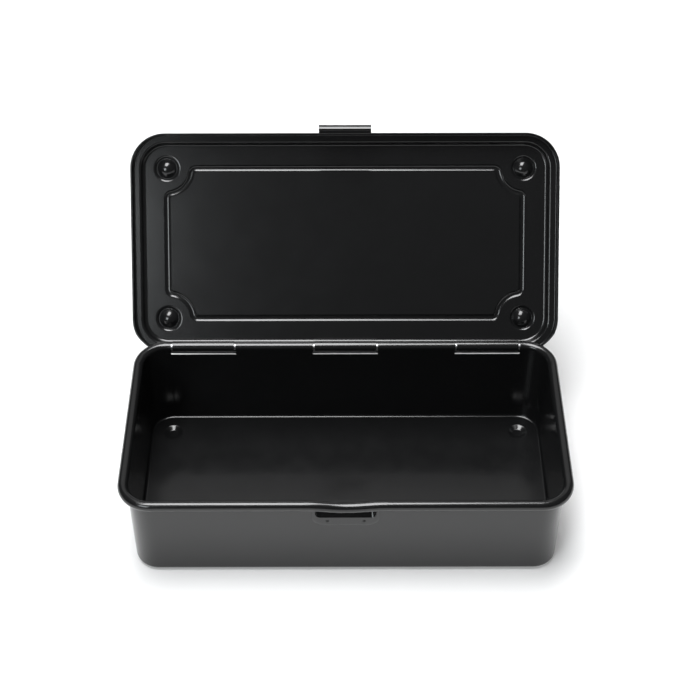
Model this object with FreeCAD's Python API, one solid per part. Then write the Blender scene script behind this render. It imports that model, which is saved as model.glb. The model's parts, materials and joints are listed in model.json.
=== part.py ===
import FreeCAD, Part
import math
import os

from FreeCAD import Rotation, Vector

# A small black pressed-steel storage box with a hinged lid, shown with the lid thrown open.
# Millimetres. X runs along the box, -Y is the latch side, +Z is up.
# The origin is on the standing plane, under the middle of the tray.

# Overall sizes of the closed box
LID_WIDTH = 203.0
LID_DEPTH = 104.6
CLOSED_HEIGHT = 56.0
LID_CORNER_RADIUS = 16.4
SHEET = 0.7

# Tray: drawn wall, round rolled rim and pressed feet
RIM_TOP = 51.0
RIM_RADIUS = 2.35
RIM_TIP = 0.6
FLOOR_FILLET = 1.2
FOOT_HEIGHT = 1.2
FOOT_FLAT_RADIUS = 2.3
FOOT_MOUTH_RADIUS = 4.5
FOOT_SKIRT_RADIUS = 5.6
FOOT_BOTTOM_BEND = 1.5
FOOT_TOP_BEND = 1.2

# Dip of the front rim, the low pad pressed out under it and the groove along the pad's top
DIP_HALF_LENGTH = 18.0
DIP_DEPTH = 1.2
DIP_WALL_HEIGHT = 4.0
PAD_HEADROOM = 6.6
PAD_WIDTH = 30.0
PAD_BELOW_RIM = 18.0
PAD_RISE = 0.45
PAD_CORNER = 6.0
PAD_EDGE_RUN = 2.0
PAD_EDGE_STEPS = 5
PAD_LEAD = 0.3
GROOVE_HEADROOM = 5.4
GROOVE_WIDTH = 27.0
GROOVE_BELOW_RIM = 12.3
GROOVE_DEPTH = 2.6
GROOVE_CORNER = 2.4
GROOVE_SIDE_DRAFT = 0.8
GROOVE_FLOOR_DRAFT = 2.8

# Lid: pressed panel, shoulder that sits over the rim, and skirt
LID_SIDE_GAP = 0.5
LID_SEAT_GAP = 0.45
SHOULDER_WIDTH = 4.0
SKIRT_LAP = 1.65
REAR_SKIRT_RISE = 0.85
LID_EDGE_RADIUS = 2.4
SHOULDER_FILLET = 0.5
SKIRT_EDGE_RADIUS = 1.3
LID_OPEN_ANGLE = 129.0

# Relief cut in the lid skirt at the two rear corners, so that it swings past the rim
RELIEF_RUN = 5.0
RELIEF_START = 1.0
RELIEF_RISE = 1.7
RELIEF_INSET = 2.3

# Bead frame and stacking sockets of the lid panel
BEAD_HEIGHT = 0.9
BEAD_HALF_WIDTH = 1.7
BEAD_ARC_RADIUS = 11.9
BEAD_TURN_RADIUS = 2.4
SOCKET_INSET = 16.45
SOCKET_DEPTH = 1.6
SOCKET_FLAT_RADIUS = 2.0
SOCKET_RING_INNER = 4.3
SOCKET_RING_OUTER = 5.2
SOCKET_FOOT_RADIUS = 6.2
SOCKET_SKIRT_RADIUS = 7.0
SOCKET_BOWL_BEND = 4.2
SOCKET_RING_BEND = 0.8

# Hinges: a rolled strap on the lid turns on a pin laid in the rim's curl
HINGE_COUNT = 3
HINGE_END_INSET = 33.5
STRAP_WIDTH = 29.4
STRAP_THICKNESS = 1.05
PIN_RADIUS = 1.55
PIN_CLEARANCE = 0.05
PIN_HOLD = 2.0
NOTCH_SIDE_GAP = 0.8
NOTCH_DEPTH = 6.0
STRAP_TOP_GAP = 0.1

# Latch: a bent plate with a rolled top, swinging on a pin between two ears
LATCH_WIDTH = 24.5
LATCH_SHEET = 0.8
LATCH_SKIRT_GAP = 0.3
LATCH_PIN_RADIUS = 0.6
LATCH_SIDE_GAP = 0.3
LATCH_REST_ANGLE = 6.0
LATCH_DROP = 13.4
LATCH_NECK_DROP = 3.0
LATCH_HEM_RADIUS = 1.0
LATCH_HEM_TIP = 0.6
CATCH_REACH = 3.6
CATCH_DROP = 9.8
CATCH_HALF_HEIGHT = 1.7
CATCH_TIP_RADIUS = 0.95
CATCH_ROOT_RADIUS = 0.7
EAR_THICKNESS = 0.8
EAR_HALF_WIDTH = 1.3
BRACKET_SHEET = 0.6
BRACKET_ROLL_GAP = 0.2
BRACKET_FRONT_INSET = 0.3

# Allowance by which cutting solids run past the sheet they cut, and the shortest edge worth drawing
OVERCUT = 1.0
SHORTEST_EDGE = 1e-6

# Derived places of the tray
rim_half_width = LID_WIDTH / 2 - SHEET - LID_SIDE_GAP
rim_corner_radius = LID_CORNER_RADIUS - SHEET - LID_SIDE_GAP
strap_bore = PIN_RADIUS + PIN_CLEARANCE
strap_roll = strap_bore + STRAP_THICKNESS
lid_behind_axis = strap_roll + SHEET
rim_width = 2 * RIM_RADIUS
rim_depth = LID_DEPTH - lid_behind_axis - SHEET - LID_SIDE_GAP + RIM_RADIUS
axis_y = rim_depth / 2 - RIM_RADIUS
axis_z = RIM_TOP - RIM_RADIUS
corner_x = rim_half_width - rim_corner_radius
tray_corner_y = rim_depth / 2 - rim_corner_radius
wall_inner_radius = rim_corner_radius - rim_width
wall_outer_radius = wall_inner_radius + SHEET
front_wall_y = -tray_corner_y - wall_outer_radius
floor_top = FOOT_HEIGHT + SHEET

# Derived places of the lid, in its closed position
lid_rear_y = axis_y + lid_behind_axis
lid_front_y = lid_rear_y - LID_DEPTH
panel_top = CLOSED_HEIGHT - BEAD_HEIGHT
shoulder_top = RIM_TOP + LID_SEAT_GAP + SHEET
skirt_bottom = axis_z - SKIRT_LAP
lid_wall_radius = LID_CORNER_RADIUS - SHOULDER_WIDTH
socket_x = LID_WIDTH / 2 - SOCKET_INSET
socket_rear_y = lid_rear_y - SOCKET_INSET
socket_front_y = lid_front_y + SOCKET_INSET
stack_points = [(x, y) for x in (-socket_x, socket_x) for y in (socket_front_y, socket_rear_y)]
hinge_pitch = (LID_WIDTH - 2 * HINGE_END_INSET) / (HINGE_COUNT - 1)
hinge_places = [hinge_pitch * (i - (HINGE_COUNT - 1) / 2) for i in range(HINGE_COUNT)]

# Derived places of the latch, in the lid's closed position; depth is counted inwards from the skirt
latch_bore = LATCH_PIN_RADIUS + PIN_CLEARANCE
latch_roll = latch_bore + LATCH_SHEET
pivot_depth = latch_bore - LATCH_SKIRT_GAP
pivot_z = shoulder_top + BRACKET_SHEET + BRACKET_ROLL_GAP + latch_roll
ear_inner_x = LATCH_WIDTH / 2 - EAR_THICKNESS


def turn_angle(before, corner, after):
    """Signed turn of a path at a corner, positive to the left."""
    first = math.atan2(corner[1] - before[1], corner[0] - before[0])
    second = math.atan2(after[1] - corner[1], after[0] - corner[0])
    return math.remainder(second - first, 2 * math.pi)


def rounded_edges(points, radii):
    """Edges of an open path in the XZ plane whose inner corners are rounded by the radii."""
    edges = []
    here = Vector(points[0][0], 0, points[0][1])
    for before, corner, after, radius in zip(points, points[1:], points[2:], radii):
        turn = turn_angle(before, corner, after)
        middle = Vector(corner[0], 0, corner[1])
        back = (Vector(before[0], 0, before[1]) - middle).normalize()
        ahead = (Vector(after[0], 0, after[1]) - middle).normalize()
        reach = radius * math.tan(abs(turn) / 2)
        start = middle + back * reach
        end = middle + ahead * reach
        bisector = (back + ahead).normalize()
        top = middle + bisector * (radius / math.cos(turn / 2) - radius)
        if (start - here).Length > SHORTEST_EDGE:
            edges.append(Part.makeLine(here, start))
        edges.append(Part.Arc(start, top, end).toShape())
        here = end
    last = Vector(points[-1][0], 0, points[-1][1])
    if (last - here).Length > SHORTEST_EDGE:
        edges.append(Part.makeLine(here, last))
    return edges


def right_offset(points, distance):
    """The path's points moved sideways by a distance, to the right of its direction."""
    normals = []
    for first, second in zip(points, points[1:]):
        length = math.hypot(second[0] - first[0], second[1] - first[1])
        normals.append(((second[1] - first[1]) / length, (first[0] - second[0]) / length))
    moved = [(points[0][0] + normals[0][0] * distance, points[0][1] + normals[0][1] * distance)]
    for corner, one, two in zip(points[1:], normals, normals[1:]):
        scale = distance / (1 + one[0] * two[0] + one[1] * two[1])
        moved.append((corner[0] + (one[0] + two[0]) * scale, corner[1] + (one[1] + two[1]) * scale))
    moved.append((points[-1][0] + normals[-1][0] * distance, points[-1][1] + normals[-1][1] * distance))
    return moved


def sheet_section(points, radii, thickness):
    """Face of a bent sheet: a rounded path thickened to its right."""
    other = right_offset(points, thickness)
    other_radii = []
    for before, corner, after, radius in zip(points, points[1:], points[2:], radii):
        side = 1 if turn_angle(before, corner, after) > 0 else -1
        other_radii.append(radius + side * thickness)
    near = rounded_edges(points, radii)
    far = rounded_edges(other, other_radii)
    first_cap = Part.makeLine(Vector(points[0][0], 0, points[0][1]), Vector(other[0][0], 0, other[0][1]))
    last_cap = Part.makeLine(Vector(points[-1][0], 0, points[-1][1]), Vector(other[-1][0], 0, other[-1][1]))
    return Part.Face(Part.Wire(Part.__sortEdges__(near + far + [first_cap, last_cap])))


def placed(shape, angle, place):
    """A copy of a shape turned about Z and moved to a place."""
    copy = shape.copy()
    copy.rotate(Vector(0, 0, 0), Vector(0, 0, 1), angle)
    copy.translate(place)
    return copy


def pressed_pan(section, corners, plate_top, open_side=None):
    """A drawn pan: the section run along four sides and turned about four corners, with a flat plate."""
    pieces = []
    for k, corner in enumerate(corners):
        start = Vector(corners[k - 1][0], corners[k - 1][1], 0)
        end = Vector(corner[0], corner[1], 0)
        if k != open_side:
            pieces.append(placed(section, 90 * k, start).extrude(end - start))
        pieces.append(placed(section, 90 * k, end).revolve(end, Vector(0, 0, 1), 90))
    width = corners[0][0] - corners[1][0]
    depth = corners[0][1] - corners[3][1]
    lowest = Vector(corners[2][0], corners[2][1], plate_top - SHEET)
    pieces.append(Part.makeBox(width, depth, SHEET, lowest))
    return pieces


def revolved_pressing(points, radii):
    """A round pressing about the Z axis: a sheet section turned through a full circle."""
    return sheet_section(points, radii, SHEET).revolve(Vector(0, 0, 0), Vector(0, 0, 1), 360)


def press_in(plate, pressing, hole_radius, places, level):
    """Replaces round patches of a flat plate by a round pressing at each place."""
    for x, y in places:
        patch = Part.makeCylinder(hole_radius, SHEET, Vector(x, y, level - SHEET))
        plate = plate.cut(patch)
        plate = plate.fuse(placed(pressing, 0, Vector(x, y, 0)))
    return plate


def front_dip(section):
    """The middle of the front wall, whose rolled rim dips in a shallow wave."""
    front = placed(section, 270, Vector(0, -tray_corner_y, 0))
    split = axis_z - DIP_WALL_HEIGHT
    plain_top = split - DIP_DEPTH - OVERCUT
    far = 2 * rim_depth
    above = Part.makeBox(far, far, far, Vector(-far / 2, -far / 2, split))
    below = Part.makeBox(far, far, far, Vector(-far / 2, -far / 2, plain_top - far))
    rim = front.common(above)
    skirt = front.common(below)
    quarter = DIP_HALF_LENGTH / 2
    radius = (quarter ** 2 + (DIP_DEPTH / 2) ** 2) / DIP_DEPTH
    swing = math.degrees(math.asin(quarter / radius))
    along = Vector(0, 1, 0)
    pieces = []
    # Shoulders of the wave, turning down on either side
    for side in (-1, 1):
        end = rim.copy()
        end.translate(Vector(side * DIP_HALF_LENGTH, 0, 0))
        centre = Vector(side * DIP_HALF_LENGTH, 0, axis_z - radius)
        pieces.append(end.revolve(centre, along, -side * swing))
    # Bottom of the wave
    low = rim.copy()
    low.translate(Vector(0, 0, -DIP_DEPTH))
    centre = Vector(0, 0, axis_z - DIP_DEPTH + radius)
    low.rotate(centre, along, -swing)
    pieces.append(low.revolve(centre, along, 2 * swing))
    # Wall plate whose top edge follows the wave
    shoulder = radius - DIP_WALL_HEIGHT
    valley = radius + DIP_WALL_HEIGHT
    lean = math.radians(swing)
    left_end = Vector(-DIP_HALF_LENGTH, front_wall_y, split)
    right_end = Vector(DIP_HALF_LENGTH, front_wall_y, split)
    left_turn = Vector(-DIP_HALF_LENGTH + shoulder * math.sin(lean), front_wall_y,
                       axis_z - radius + shoulder * math.cos(lean))
    right_turn = Vector(-left_turn.x, front_wall_y, left_turn.z)
    left_middle = Vector(-DIP_HALF_LENGTH + shoulder * math.sin(lean / 2), front_wall_y,
                         axis_z - radius + shoulder * math.cos(lean / 2))
    right_middle = Vector(-left_middle.x, front_wall_y, left_middle.z)
    bottom = Vector(0, front_wall_y, axis_z - DIP_DEPTH + radius - valley)
    left_foot = Vector(-DIP_HALF_LENGTH, front_wall_y, plain_top)
    right_foot = Vector(DIP_HALF_LENGTH, front_wall_y, plain_top)
    outline = Part.Wire([
        Part.makeLine(left_foot, left_end),
        Part.Arc(left_end, left_middle, left_turn).toShape(),
        Part.Arc(left_turn, bottom, right_turn).toShape(),
        Part.Arc(right_turn, right_middle, right_end).toShape(),
        Part.makeLine(right_end, right_foot),
        Part.makeLine(right_foot, left_foot),
    ])
    pieces.append(Part.Face(outline).extrude(Vector(0, SHEET, 0)))
    skirt.translate(Vector(-DIP_HALF_LENGTH, 0, 0))
    pieces.append(skirt.extrude(Vector(2 * DIP_HALF_LENGTH, 0, 0)))
    # Straight runs between the wave and the corners
    run = corner_x - DIP_HALF_LENGTH
    for start in (-corner_x, DIP_HALF_LENGTH):
        piece = front.copy()
        piece.translate(Vector(start, 0, 0))
        pieces.append(piece.extrude(Vector(run, 0, 0)))
    return pieces


def pad_outline(y, half_width, low, high, corner):
    """A U-shaped outline on a plane of constant Y, rounded at its lower corners."""
    inner = half_width - corner
    slant = corner * math.sqrt(0.5)
    return Part.Wire([
        Part.makeLine(Vector(half_width, y, high), Vector(-half_width, y, high)),
        Part.makeLine(Vector(-half_width, y, high), Vector(-half_width, y, low + corner)),
        Part.Arc(Vector(-half_width, y, low + corner), Vector(-inner - slant, y, low + corner - slant),
                 Vector(-inner, y, low)).toShape(),
        Part.makeLine(Vector(-inner, y, low), Vector(inner, y, low)),
        Part.Arc(Vector(inner, y, low), Vector(inner + slant, y, low + corner - slant),
                 Vector(half_width, y, low + corner)).toShape(),
        Part.makeLine(Vector(half_width, y, low + corner), Vector(half_width, y, high)),
    ])


def pad_solid(face_y):
    """Low pad standing out from a wall face, with a rounded edge and a root behind the face."""
    low = RIM_TOP - PAD_BELOW_RIM
    high = RIM_TOP - PAD_HEADROOM
    half = PAD_WIDTH / 2
    outlines = [pad_outline(face_y + PAD_LEAD, half, low, high, PAD_CORNER)]
    for step in range(PAD_EDGE_STEPS + 1):
        turn = math.pi / 2 * step / PAD_EDGE_STEPS
        rise = PAD_RISE * math.sin(turn)
        shrink = PAD_EDGE_RUN * (1 - math.cos(turn))
        outlines.append(pad_outline(face_y - rise, half - shrink, low + shrink, high, PAD_CORNER - shrink))
    return Part.makeLoft(outlines, True, True)


def groove_solid(grow, mouth_y):
    """Drafted groove for the latch's catch, grown by a sheet thickness and started at a mouth plane."""
    low = RIM_TOP - GROOVE_BELOW_RIM - grow
    high = RIM_TOP - GROOVE_HEADROOM + grow
    half = GROOVE_WIDTH / 2 + grow
    corner = GROOVE_CORNER + grow
    back_y = front_wall_y + GROOVE_DEPTH + grow
    mouth = pad_outline(mouth_y, half, low, high, corner)
    back = pad_outline(back_y, half - GROOVE_SIDE_DRAFT, low + GROOVE_FLOOR_DRAFT, high,
                       corner - GROOVE_SIDE_DRAFT)
    return Part.makeLoft([mouth, back], True, True)


def make_tray():
    """Deep-drawn tray with an outward rolled rim, notched for the hinges at the back."""
    section = sheet_section(
        [
            (0, floor_top),
            (wall_inner_radius, floor_top),
            (wall_inner_radius, RIM_TOP),
            (rim_corner_radius, RIM_TOP),
            (rim_corner_radius, RIM_TOP - rim_width),
            (rim_corner_radius - RIM_RADIUS - RIM_TIP, RIM_TOP - rim_width),
        ],
        [FLOOR_FILLET, RIM_RADIUS, RIM_RADIUS, RIM_RADIUS],
        SHEET,
    )
    corners = [
        (corner_x, tray_corner_y),
        (-corner_x, tray_corner_y),
        (-corner_x, -tray_corner_y),
        (corner_x, -tray_corner_y),
    ]
    pieces = pressed_pan(section, corners, floor_top, open_side=3) + front_dip(section)
    tray = pieces[0].multiFuse(pieces[1:]).removeSplitter()
    foot = revolved_pressing(
        [
            (0, SHEET),
            (FOOT_FLAT_RADIUS, SHEET),
            (FOOT_MOUTH_RADIUS, floor_top),
            (FOOT_SKIRT_RADIUS, floor_top),
        ],
        [FOOT_BOTTOM_BEND, FOOT_TOP_BEND],
    )
    tray = press_in(tray, foot, FOOT_SKIRT_RADIUS, stack_points, floor_top)
    # The pad is pressed out of the wall, so the wall's inner face follows it a sheet thickness behind
    tray = tray.fuse(pad_solid(front_wall_y)).cut(pad_solid(front_wall_y + SHEET))
    tray = tray.fuse(groove_solid(SHEET, front_wall_y))
    tray = tray.cut(groove_solid(0, front_wall_y - PAD_RISE - PAD_LEAD))
    notch_width = STRAP_WIDTH + 2 * NOTCH_SIDE_GAP
    notch_length = rim_width + 2 * OVERCUT
    for x in hinge_places:
        corner = Vector(x - notch_width / 2, rim_depth / 2 - rim_width - OVERCUT, RIM_TOP - NOTCH_DEPTH)
        tray = tray.cut(Part.makeBox(notch_width, notch_length, NOTCH_DEPTH + OVERCUT, corner))
    return tray.removeSplitter()


def bead_path():
    """Centre line of the bead frame: straight sides that bow in around the four sockets."""
    radius = BEAD_ARC_RADIUS
    turn = BEAD_TURN_RADIUS
    middle_y = (socket_front_y + socket_rear_y) / 2
    reach_y = (socket_rear_y - socket_front_y) / 2
    # Each small turn touches a straight side and the outside of the arc about the socket
    far = math.sqrt((radius + turn) ** 2 - turn ** 2)
    lean = math.atan2(turn, far)
    half_turn = math.pi / 4 - lean / 2
    slant = radius * math.sqrt(0.5)
    marks = [
        (0, -far),
        (-turn + turn * math.cos(half_turn), -far + turn * math.sin(half_turn)),
        (-radius * math.sin(lean), -radius * math.cos(lean)),
        (-slant, -slant),
        (-radius * math.cos(lean), -radius * math.sin(lean)),
        (-far + turn * math.sin(half_turn), -turn + turn * math.cos(half_turn)),
        (-far, 0),
    ]
    edges = []
    # The corner beside one socket is mirrored to the other three, in order round the frame
    for sign_x, sign_y in ((1, 1), (-1, 1), (-1, -1), (1, -1)):
        points = []
        for x, y in marks:
            points.append(Vector(sign_x * (socket_x + x), middle_y + sign_y * (reach_y + y), panel_top))
        if sign_x * sign_y < 0:
            points.reverse()
        if edges:
            edges.append(Part.makeLine(edges[-1].Vertexes[-1].Point, points[0]))
        for first, middle, last in (points[0:3], points[2:5], points[4:7]):
            edges.append(Part.Arc(first, middle, last).toShape())
    edges.append(Part.makeLine(edges[-1].Vertexes[-1].Point, edges[0].Vertexes[0].Point))
    return Part.Wire(edges)


def bead_section(flat):
    """Upright section of the bead on the rear side: a low arch of sheet, or the flat strip it replaces."""
    left = Vector(0, socket_rear_y - BEAD_HALF_WIDTH, panel_top)
    right = Vector(0, socket_rear_y + BEAD_HALF_WIDTH, panel_top)
    drop = Vector(0, 0, -SHEET)
    if flat:
        return Part.makePolygon([left, right, right + drop, left + drop, left])
    crown = Vector(0, socket_rear_y, panel_top + BEAD_HEIGHT)
    return Part.Wire([
        Part.Arc(left, crown, right).toShape(),
        Part.makeLine(right, right + drop),
        Part.Arc(right + drop, crown + drop, left + drop).toShape(),
        Part.makeLine(left + drop, left),
    ])


def make_lid():
    """Pressed lid, built closed: panel with bead frame and sockets, shoulder and skirt."""
    section = sheet_section(
        [
            (0, panel_top),
            (lid_wall_radius, panel_top),
            (lid_wall_radius, shoulder_top),
            (LID_CORNER_RADIUS, shoulder_top),
            (LID_CORNER_RADIUS, skirt_bottom),
        ],
        [LID_EDGE_RADIUS, SHOULDER_FILLET, SKIRT_EDGE_RADIUS],
        SHEET,
    )
    rear = lid_rear_y - LID_CORNER_RADIUS
    front = lid_front_y + LID_CORNER_RADIUS
    corners = [(corner_x, rear), (-corner_x, rear), (-corner_x, front), (corner_x, front)]
    pieces = pressed_pan(section, corners, panel_top)
    lid = pieces[0].multiFuse(pieces[1:]).removeSplitter()
    # Bead frame, swept round its centre line in place of the flat strip
    path = bead_path()
    lid = lid.cut(path.makePipeShell([bead_section(True)], True, False))
    lid = lid.fuse(path.makePipeShell([bead_section(False)], True, False))
    # Stacking sockets over the feet
    socket = revolved_pressing(
        [
            (0, panel_top - SOCKET_DEPTH),
            (SOCKET_FLAT_RADIUS, panel_top - SOCKET_DEPTH),
            (SOCKET_RING_INNER, panel_top + BEAD_HEIGHT),
            (SOCKET_RING_OUTER, panel_top + BEAD_HEIGHT),
            (SOCKET_FOOT_RADIUS, panel_top),
            (SOCKET_SKIRT_RADIUS, panel_top),
        ],
        [SOCKET_BOWL_BEND, SOCKET_RING_BEND, SOCKET_RING_BEND, SOCKET_RING_BEND],
    )
    lid = press_in(lid, socket, SOCKET_SKIRT_RADIUS, stack_points, panel_top)
    # Rear skirt trimmed short, and cut back at the corners so that it swings past the rim
    relief_x = corner_x - RELIEF_INSET
    low = skirt_bottom - OVERCUT
    behind = lid_rear_y + OVERCUT
    trim_height = axis_z + REAR_SKIRT_RISE - low
    lid = lid.cut(Part.makeBox(2 * relief_x, behind - axis_y, trim_height, Vector(-relief_x, axis_y, low)))
    ramp_top = axis_y - RELIEF_START
    ramp_foot = ramp_top - RELIEF_RUN
    outline = Part.makePolygon([
        Vector(0, ramp_foot, low),
        Vector(0, ramp_foot, skirt_bottom),
        Vector(0, ramp_top, axis_z + RELIEF_RISE),
        Vector(0, behind, axis_z + RELIEF_RISE),
        Vector(0, behind, low),
        Vector(0, ramp_foot, low),
    ])
    length = LID_WIDTH / 2 + OVERCUT - relief_x
    for start in (relief_x, -relief_x - length):
        wedge = Part.Face(outline).extrude(Vector(length, 0, 0))
        wedge.translate(Vector(start, 0, 0))
        lid = lid.cut(wedge)
    return lid.removeSplitter()


def make_strap(x):
    """Hinge strap: a leaf on the rear skirt, rolled under and round the pin."""
    leaf_top = shoulder_top - SHEET - (SKIRT_EDGE_RADIUS - SHEET) - STRAP_TOP_GAP - axis_z
    section = sheet_section(
        [
            (0, strap_bore),
            (-strap_bore, strap_bore),
            (-strap_bore, -strap_bore),
            (strap_bore, -strap_bore),
            (strap_bore, leaf_top),
        ],
        [strap_bore, strap_bore, strap_bore],
        STRAP_THICKNESS,
    )
    strap = placed(section, 90, Vector(x - STRAP_WIDTH / 2, axis_y, axis_z))
    return strap.extrude(Vector(STRAP_WIDTH, 0, 0))


def make_hinge_pin(x):
    """Hinge pin, held by the curl of the rim on both sides of its notch."""
    length = STRAP_WIDTH + 2 * NOTCH_SIDE_GAP + 2 * PIN_HOLD
    return Part.makeCylinder(PIN_RADIUS, length, Vector(x - length / 2, axis_y, axis_z), Vector(1, 0, 0))


def latch_place(depth, z):
    """A point of the latch from its depth behind the lid's front face and its height."""
    return Vector(0, lid_front_y + depth, z)


def make_latch_plate():
    """Latch plate, built fastened: rolled top, catch bead that hooks under the rim, and hemmed lip."""
    inner = -LATCH_SKIRT_GAP
    catch_z = pivot_z - CATCH_DROP
    foot_z = pivot_z - LATCH_DROP
    hem_depth = inner - 2 * LATCH_HEM_RADIUS
    section = sheet_section(
        [
            (pivot_depth, pivot_z - latch_bore),
            (pivot_depth + latch_bore, pivot_z - latch_bore),
            (pivot_depth + latch_bore, pivot_z + latch_bore),
            (inner, pivot_z + latch_bore),
            (inner, catch_z + CATCH_HALF_HEIGHT),
            (inner + CATCH_REACH, catch_z),
            (inner, catch_z - CATCH_HALF_HEIGHT),
            (inner, foot_z),
            (hem_depth, foot_z),
            (hem_depth, foot_z + LATCH_HEM_RADIUS + LATCH_HEM_TIP),
        ],
        [latch_bore, latch_bore, latch_bore, CATCH_ROOT_RADIUS, CATCH_TIP_RADIUS, CATCH_ROOT_RADIUS,
         LATCH_HEM_RADIUS, LATCH_HEM_RADIUS],
        LATCH_SHEET,
    )
    plate = placed(section, 90, Vector(-LATCH_WIDTH / 2, lid_front_y, 0)).extrude(Vector(LATCH_WIDTH, 0, 0))
    # The rolled top is narrower, to turn between the ears
    neck_z = pivot_z - LATCH_NECK_DROP
    side = EAR_THICKNESS + LATCH_SIDE_GAP
    reach = 4 * latch_roll
    for x in (-LATCH_WIDTH / 2, LATCH_WIDTH / 2 - side):
        corner = Vector(x, lid_front_y - reach / 2, neck_z)
        plate = plate.cut(Part.makeBox(side, reach, reach, corner))
    pivot = latch_place(pivot_depth, pivot_z)
    plate.rotate(pivot, Vector(1, 0, 0), -LATCH_REST_ANGLE)
    return plate


def make_latch_bracket():
    """Bracket on the lid's shoulder: a strip with two upright ears that hold the latch pin."""
    back = SHOULDER_WIDTH - SHOULDER_FILLET
    strip = Part.makeBox(LATCH_WIDTH, back - BRACKET_FRONT_INSET, BRACKET_SHEET,
                         Vector(-LATCH_WIDTH / 2, lid_front_y + BRACKET_FRONT_INSET, shoulder_top))
    pieces = []
    for x in (-LATCH_WIDTH / 2, ear_inner_x):
        offset = Vector(x, 0, 0)
        front = latch_place(pivot_depth - EAR_HALF_WIDTH, pivot_z) + offset
        rear = latch_place(pivot_depth + EAR_HALF_WIDTH, pivot_z) + offset
        crown = latch_place(pivot_depth, pivot_z + EAR_HALF_WIDTH) + offset
        front_foot = latch_place(pivot_depth - EAR_HALF_WIDTH, shoulder_top) + offset
        rear_foot = latch_place(pivot_depth + EAR_HALF_WIDTH, shoulder_top) + offset
        outline = Part.Wire([
            Part.makeLine(front_foot, front),
            Part.Arc(front, crown, rear).toShape(),
            Part.makeLine(rear, rear_foot),
            Part.makeLine(rear_foot, front_foot),
        ])
        pieces.append(Part.Face(outline).extrude(Vector(EAR_THICKNESS, 0, 0)))
    bracket = strip.multiFuse(pieces)
    hole = Part.makeCylinder(LATCH_PIN_RADIUS, LATCH_WIDTH, latch_place(pivot_depth, pivot_z)
                             - Vector(LATCH_WIDTH / 2, 0, 0), Vector(1, 0, 0))
    return bracket.cut(hole).removeSplitter()


def make_latch_pin():
    """Latch pin, pressed into the two ears."""
    start = latch_place(pivot_depth, pivot_z) - Vector(LATCH_WIDTH / 2, 0, 0)
    return Part.makeCylinder(LATCH_PIN_RADIUS, LATCH_WIDTH, start, Vector(1, 0, 0))


# The tray and its pins stand still; everything on the lid is thrown open about the hinge axis
fixed = {"base_tray": make_tray()}
moving = {
    "lid_shell": make_lid(),
    "latch_bracket": make_latch_bracket(),
    "latch_pin": make_latch_pin(),
    "latch_plate": make_latch_plate(),
}
for name, x in zip(("left", "middle", "right"), hinge_places):
    fixed["hinge_pin_" + name] = make_hinge_pin(x)
    moving["hinge_strap_" + name] = make_strap(x)

hinge_axis = Vector(0, axis_y, axis_z)
for shape in moving.values():
    shape.rotate(hinge_axis, Vector(1, 0, 0), -LID_OPEN_ANGLE)

os.makedirs("parts", exist_ok=True)
for name, shape in {**fixed, **moving}.items():
    print(name, shape.isValid(), len(shape.Solids), round(shape.Volume, 1))
    shape.exportStep("parts/" + name + ".step")

open_turn = Rotation(Vector(1, 0, 0), -LID_OPEN_ANGLE)
pivot_open = hinge_axis + open_turn.multVec(latch_place(pivot_depth, pivot_z) - hinge_axis)
print("hinge axis", axis_y, axis_z, "latch pivot", pivot_open.y, pivot_open.z)
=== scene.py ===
import json
import math

import bmesh
import bpy
from mathutils import Matrix, Vector

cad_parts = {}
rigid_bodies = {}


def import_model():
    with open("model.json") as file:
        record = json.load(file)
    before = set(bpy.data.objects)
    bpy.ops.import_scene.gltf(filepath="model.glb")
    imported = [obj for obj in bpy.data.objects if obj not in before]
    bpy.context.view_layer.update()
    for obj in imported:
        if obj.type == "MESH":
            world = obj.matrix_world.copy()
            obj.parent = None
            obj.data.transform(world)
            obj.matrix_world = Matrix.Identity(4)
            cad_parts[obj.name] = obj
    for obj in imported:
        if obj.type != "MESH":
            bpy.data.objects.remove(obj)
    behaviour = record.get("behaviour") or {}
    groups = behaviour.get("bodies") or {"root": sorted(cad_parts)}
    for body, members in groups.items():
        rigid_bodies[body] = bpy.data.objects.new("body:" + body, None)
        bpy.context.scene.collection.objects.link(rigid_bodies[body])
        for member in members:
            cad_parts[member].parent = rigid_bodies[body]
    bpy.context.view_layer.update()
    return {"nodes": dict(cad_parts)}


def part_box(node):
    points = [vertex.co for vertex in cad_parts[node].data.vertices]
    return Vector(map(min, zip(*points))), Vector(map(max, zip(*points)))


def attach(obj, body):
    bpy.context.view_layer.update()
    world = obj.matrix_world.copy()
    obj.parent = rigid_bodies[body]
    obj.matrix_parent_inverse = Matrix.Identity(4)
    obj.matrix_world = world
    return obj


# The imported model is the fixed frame, in metres. Blender's own start objects are cleared before it loads.
for leftover in list(bpy.data.objects):
    bpy.data.objects.remove(leftover)
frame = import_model()


# Tray: one deep-drawn sheet of thin steel with a rolled rim and four pressed feet.
# A low pad and a groove are pressed in its front wall, under the dip of the rim.
# It is sprayed with black enamel and baked, which leaves a satin skin with a faint orange peel.
def grain(tree, place, scale, detail):
    """A cloudy pattern that is fixed to the piece."""
    noise = tree.nodes.new("ShaderNodeTexNoise")
    noise.inputs["Scale"].default_value = scale
    noise.inputs["Detail"].default_value = detail
    tree.links.new(place, noise.inputs["Vector"])
    return noise.outputs["Fac"]


def tones(tree, value, start, dark, end, pale):
    """A colour that runs from dark to pale while the value runs from start to end."""
    ramp = tree.nodes.new("ShaderNodeValToRGB")
    low, high = ramp.color_ramp.elements
    low.position = start
    low.color = dark + (1,)
    high.position = end
    high.color = pale + (1,)
    tree.links.new(value, ramp.inputs["Fac"])
    return ramp.outputs["Color"]


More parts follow.
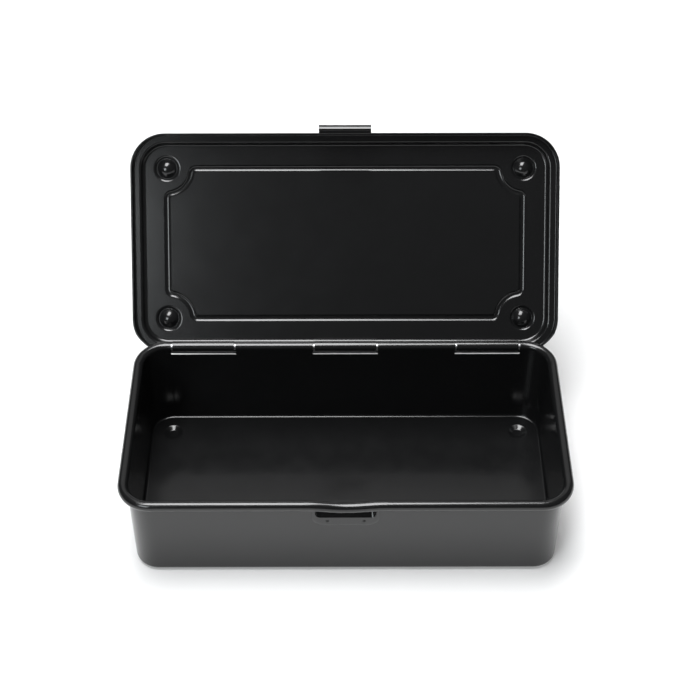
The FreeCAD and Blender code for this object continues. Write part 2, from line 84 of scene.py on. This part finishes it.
def levels(tree, value, start, low, end, high):
    """A number that runs from low to high while the value runs from start to end."""
    span = tree.nodes.new("ShaderNodeMapRange")
    span.inputs["From Min"].default_value = start
    span.inputs["From Max"].default_value = end
    span.inputs["To Min"].default_value = low
    span.inputs["To Max"].default_value = high
    tree.links.new(value, span.inputs["Value"])
    return span.outputs["Result"]


def black_enamel(name, dark, pale, smooth, rough):
    """Satin black baked paint: cloudy in tone and gloss, with a fine peel in the skin."""
    paint = bpy.data.materials.new(name)
    paint.use_nodes = True
    tree = paint.node_tree
    skin = tree.nodes["Principled BSDF"]
    skin.inputs["IOR"].default_value = 1.52
    place = tree.nodes.new("ShaderNodeTexCoord").outputs["Object"]

    cloud = grain(tree, place, scale=38.0, detail=3.0)
    tone = tones(tree, cloud, start=0.3, dark=dark, end=0.7, pale=pale)
    tree.links.new(tone, skin.inputs["Base Color"])

    drift = grain(tree, place, scale=110.0, detail=4.0)
    gloss = levels(tree, drift, start=0.3, low=smooth, end=0.7, high=rough)
    tree.links.new(gloss, skin.inputs["Roughness"])

    peel = grain(tree, place, scale=1400.0, detail=2.0)
    bump = tree.nodes.new("ShaderNodeBump")
    bump.inputs["Strength"].default_value = 0.10
    bump.inputs["Distance"].default_value = 0.00002
    tree.links.new(peel, bump.inputs["Height"])
    tree.links.new(bump.outputs["Normal"], skin.inputs["Normal"])
    return paint


enamel_dark = (0.0055, 0.0056, 0.0058)
enamel_pale = (0.0061, 0.0062, 0.0065)
tray_enamel = black_enamel("tray_enamel", enamel_dark, enamel_pale, smooth=0.17, rough=0.21)
frame["nodes"]["base_tray"].material_slots[0].material = tray_enamel


# Press marks: two small round dimples side by side in the steel of the pad under the front rim.
# Each is a shallow pit inside a soft ring. The enamel lies dull in it, and is coloured darker there as
# painted shade in the pit.
def new_piece(name, shape, finish):
    """A finished bmesh as an object of its own, with its finish on it."""
    mesh = bpy.data.meshes.new(name)
    shape.to_mesh(mesh)
    shape.free()
    mesh.materials.append(finish)
    piece = bpy.data.objects.new(name, mesh)
    bpy.context.collection.objects.link(piece)
    return piece


# Both tones are darker than the rest of the enamel: painted shade in the pits.
mark_shade_dark = (0.0035, 0.0036, 0.0038)
mark_shade_pale = (0.0045, 0.0046, 0.0048)
mark_dull_and_shaded_enamel = black_enamel("mark_dull_and_shaded_enamel", mark_shade_dark, mark_shade_pale, smooth=0.62, rough=0.72)

tray_low, tray_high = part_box("base_tray")
rim_past_pad = 0.00355
rim_above_marks = 0.0145
marks_off_middle = 0.0081
mark_y = tray_low.y + rim_past_pad
mark_z = tray_high.z - rim_above_marks
# Each pair is a distance from the mark's middle and a height above the pad: pit, ring, and the closed back.
mark_section = [(0.0, 0.00002), (0.00030, 0.00003), (0.00055, 0.00011), (0.00066, 0.00012),
                (0.00082, -0.00002), (0.0, -0.00010)]
mark_steps = 32
weld_distance = 0.000002
upright = Matrix.Rotation(math.radians(90), 3, "X")
for side, across in (("left", -marks_off_middle), ("right", marks_off_middle)):
    dimple = bmesh.new()
    line = [dimple.verts.new((distance, 0, height)) for distance, height in mark_section]
    for inner, outer in zip(line, line[1:]):
        dimple.edges.new((inner, outer))
    bmesh.ops.spin(dimple, geom=dimple.verts[:] + dimple.edges[:], cent=(0, 0, 0), axis=(0, 0, 1),
                   angle=math.radians(360), steps=mark_steps, use_merge=True)
    bmesh.ops.remove_doubles(dimple, verts=dimple.verts, dist=weld_distance)
    bmesh.ops.recalc_face_normals(dimple, faces=dimple.faces)
    bmesh.ops.rotate(dimple, verts=dimple.verts, cent=(0, 0, 0), matrix=upright)
    bmesh.ops.translate(dimple, verts=dimple.verts, vec=(across, mark_y, mark_z))
    for face in dimple.faces:
        face.smooth = True
    mark = new_piece("press_mark_" + side, dimple, mark_dull_and_shaded_enamel)
    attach(mark, "tray")

# Lid: pressed from the same sheet, with a raised bead frame, four stacking sockets and a stepped skirt.
# It is painted inside and out with the same enamel before the hinges are rolled up.
lid_enamel = black_enamel("lid_enamel", enamel_dark, enamel_pale, smooth=0.17, rough=0.19)
frame["nodes"]["lid_shell"].material_slots[0].material = lid_enamel


# Hinges: three short straps rolled round wire pins, which lie in the curl of the rear rim.
# The straps are spot welded to the lid and painted with it; the pins stay bare drawn steel.
def drawn_steel(name):
    """Bare drawn wire: fine lines along its length and a dull bright sheen."""
    wire = bpy.data.materials.new(name)
    wire.use_nodes = True
    tree = wire.node_tree
    skin = tree.nodes["Principled BSDF"]
    skin.inputs["Metallic"].default_value = 1.0
    stretch = tree.nodes.new("ShaderNodeMapping")
    stretch.inputs["Scale"].default_value = (40.0, 4000.0, 4000.0)
    place = tree.nodes.new("ShaderNodeTexCoord").outputs["Object"]
    tree.links.new(place, stretch.inputs["Vector"])

    lines = grain(tree, stretch.outputs["Vector"], scale=1.0, detail=3.0)
    tone = tones(tree, lines, start=0.0, dark=(0.36, 0.36, 0.37), end=1.0, pale=(0.55, 0.55, 0.56))
    tree.links.new(tone, skin.inputs["Base Color"])
    gloss = levels(tree, lines, start=0.0, low=0.28, end=1.0, high=0.45)
    tree.links.new(gloss, skin.inputs["Roughness"])
    return wire


strap_enamel = black_enamel("strap_enamel", enamel_dark, enamel_pale, smooth=0.16, rough=0.20)
pin_steel = drawn_steel("pin_steel")
for side in ("left", "middle", "right"):
    frame["nodes"]["hinge_strap_" + side].material_slots[0].material = strap_enamel
    frame["nodes"]["hinge_pin_" + side].material_slots[0].material = pin_steel

# Latch: a bent plate that swings on a pin between two ears welded to the lid's front shoulder.
# Plate and bracket are dipped in a slightly glossier black, and the pin is bare steel.
latch_enamel = black_enamel("latch_enamel", enamel_dark, enamel_pale, smooth=0.14, rough=0.18)
for name in ("latch_plate", "latch_bracket"):
    frame["nodes"][name].material_slots[0].material = latch_enamel
frame["nodes"]["latch_pin"].material_slots[0].material = pin_steel

# Latch lip: the end of the plate's hem, pressed flat along nearly its whole width as an edge for a finger.
# The flat leans a little outwards from the plate's own line, which runs at 45 degrees while the lid is open.
plate_low, plate_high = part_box("latch_plate")
hem_radius = 0.000998
hem_y = plate_low.y + hem_radius
hem_z = plate_high.z - hem_radius
plate_past_lip = 0.00005
lip_half = plate_high.x - plate_past_lip
lip_rounding = 0.00008
slant = math.sin(math.radians(45))
# Each pair is a distance along the plate and a distance out from it, both from the middle of the hem.
lip_outline = [(0.00138, -0.00012), (0.00166, -0.00106), (0.00140, -0.00118), (0.00040, -0.00100),
               (0.00040, 0.00047), (0.00086, 0.00047)]
lip = bmesh.new()
corners = []
for along, outward in lip_outline:
    corner_y = hem_y + slant * (outward - along)
    corner_z = hem_z + slant * (outward + along)
    corners.append(lip.verts.new((-lip_half, corner_y, corner_z)))
near_end = lip.faces.new(corners)
grown = bmesh.ops.extrude_face_region(lip, geom=[near_end])
far_corners = [corner for corner in grown["geom"] if isinstance(corner, bmesh.types.BMVert)]
bmesh.ops.translate(lip, verts=far_corners, vec=(2 * lip_half, 0, 0))
bmesh.ops.recalc_face_normals(lip, faces=lip.faces)
long_edges = [edge for edge in lip.edges if edge.calc_length() > lip_half]
bmesh.ops.bevel(lip, geom=long_edges, offset=lip_rounding, affect="EDGES", segments=3, profile=0.5,
                material=-1)
latch_lip = new_piece("latch_lip", lip, latch_enamel)
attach(latch_lip, "latch")


# Table top: a wide matt white sheet that the box stands on, and which keeps its soft shadow.
# Seen directly it runs into plain white away from the box, and reflections show a fainter glow.
def blank_finish(name):
    """A new material that holds no shader yet."""
    finish = bpy.data.materials.new(name)
    finish.use_nodes = True
    finish.node_tree.nodes.remove(finish.node_tree.nodes["Principled BSDF"])
    return finish


def reckon(tree, operation, *values):
    """One step of arithmetic on sockets and plain numbers."""
    step = tree.nodes.new("ShaderNodeMath")
    step.operation = operation
    for entry, value in zip(step.inputs, values):
        if isinstance(value, float):
            entry.default_value = value
        else:
            tree.links.new(value, entry)
    return step.outputs["Value"]


table_half = 6.0
near_glow = 0.17
white_glow = 1.0
near_ends = 0.6
white_starts = 1.5
table_white = blank_finish("table_white")
tree = table_white.node_tree
matt = tree.nodes.new("ShaderNodeBsdfDiffuse")
matt.inputs["Color"].default_value = (0.80, 0.80, 0.80, 1)
place = tree.nodes.new("ShaderNodeTexCoord").outputs["Object"]
away = tree.nodes.new("ShaderNodeVectorMath")
away.operation = "LENGTH"
tree.links.new(place, away.inputs[0])
rise = levels(tree, away.outputs["Value"], start=near_ends, low=near_glow, end=white_starts, high=white_glow)
path = tree.nodes.new("ShaderNodeLightPath")
seen = reckon(tree, "MULTIPLY", rise, path.outputs["Is Camera Ray"])
shown = reckon(tree, "MULTIPLY_ADD", path.outputs["Is Glossy Ray"], near_glow, seen)
glow = tree.nodes.new("ShaderNodeEmission")
tree.links.new(shown, glow.inputs["Strength"])
both = tree.nodes.new("ShaderNodeAddShader")
tree.links.new(matt.outputs["BSDF"], both.inputs[0])
tree.links.new(glow.outputs["Emission"], both.inputs[1])
tree.links.new(both.outputs["Shader"], tree.nodes["Material Output"].inputs["Surface"])
sheet = bmesh.new()
bmesh.ops.create_grid(sheet, x_segments=1, y_segments=1, size=table_half)
table = new_piece("table_top", sheet, table_white)

# Back screen: a pale upright sheet that stands on the table behind the box and is mirrored in its paint.
# It is dim near the table and grows lighter upwards, and seen directly it is plain white.
screen_half = 1.2
screen_y = 1.3
screen_white = blank_finish("screen_white")
tree = screen_white.node_tree
place = tree.nodes.new("ShaderNodeTexCoord").outputs["Object"]
split = tree.nodes.new("ShaderNodeSeparateXYZ")
tree.links.new(place, split.inputs["Vector"])
fade = levels(tree, split.outputs["Z"], start=0.6, low=0.08, end=1.25, high=0.54)
path = tree.nodes.new("ShaderNodeLightPath")
shown = reckon(tree, "MAXIMUM", fade, path.outputs["Is Camera Ray"])
glow = tree.nodes.new("ShaderNodeEmission")
tree.links.new(shown, glow.inputs["Strength"])
tree.links.new(glow.outputs["Emission"], tree.nodes["Material Output"].inputs["Surface"])
sheet = bmesh.new()
bmesh.ops.create_grid(sheet, x_segments=1, y_segments=1, size=screen_half)
bmesh.ops.rotate(sheet, verts=sheet.verts, cent=(0, 0, 0), matrix=upright)
bmesh.ops.translate(sheet, verts=sheet.verts, vec=(0, screen_y, screen_half))
screen = new_piece("back_screen", sheet, screen_white)

# Room: the world around the table, a dim even light from all sides.
# Seen directly, past the edges of table and screen, it is plain white.
room_glow = 0.08
room = bpy.data.worlds.new("room")
bpy.context.scene.world = room
room.use_nodes = True
tree = room.node_tree
path = tree.nodes.new("ShaderNodeLightPath")
shown = reckon(tree, "MAXIMUM", room_glow, path.outputs["Is Camera Ray"])
walls = tree.nodes["Background"]
walls.inputs["Color"].default_value = (1, 1, 1, 1)
tree.links.new(shown, walls.inputs["Strength"])


# Lamps: a large soft box overhead, a little to the left, which gives the main light and the shadow,
# and a small weak one to the left of the camera, which lights the left of the open lid.
def soft_lamp(name, place, aim, width, height, power, tint):
    """A soft box hung at a place and aimed at a point near the box."""
    light = bpy.data.lights.new(name, "AREA")
    light.shape = "RECTANGLE"
    light.size = width
    light.size_y = height
    light.energy = power
    light.color = tint
    lamp = bpy.data.objects.new(name, light)
    bpy.context.collection.objects.link(lamp)
    lamp.location = place
    lamp.rotation_euler = (Vector(aim) - Vector(place)).to_track_quat("-Z", "Y").to_euler()


soft_lamp("lamp_top", place=(-0.13, 0.05, 1.32), aim=(0, 0, 0.05), width=1.0, height=0.6, power=26.0,
          tint=(0.99, 0.995, 1.0))
soft_lamp("lamp_left", place=(-0.52, -0.86, 0.72), aim=(0, 0.08, 0.10), width=0.4, height=0.4, power=4.0,
          tint=(0.93, 0.98, 1.0))

# Camera: a long lens in front of the box and about 0.73 m from it, looking down at 45 degrees.
# Its tiny roll and turn bring the outlines to where the photograph has them.
eye_pitch = math.radians(45)
eye_roll = math.radians(0.08)
eye_turn = math.radians(-0.08)
eye = bpy.data.cameras.new("eye")
eye.lens = 78.72
eye.sensor_width = 36.0
camera = bpy.data.objects.new("eye", eye)
bpy.context.collection.objects.link(camera)
camera.location = (-0.00018, -0.462, 0.5604)
camera.rotation_euler = (eye_pitch, eye_roll, eye_turn)
bpy.context.scene.camera = camera
bpy.context.scene.view_settings.view_transform = "Standard"
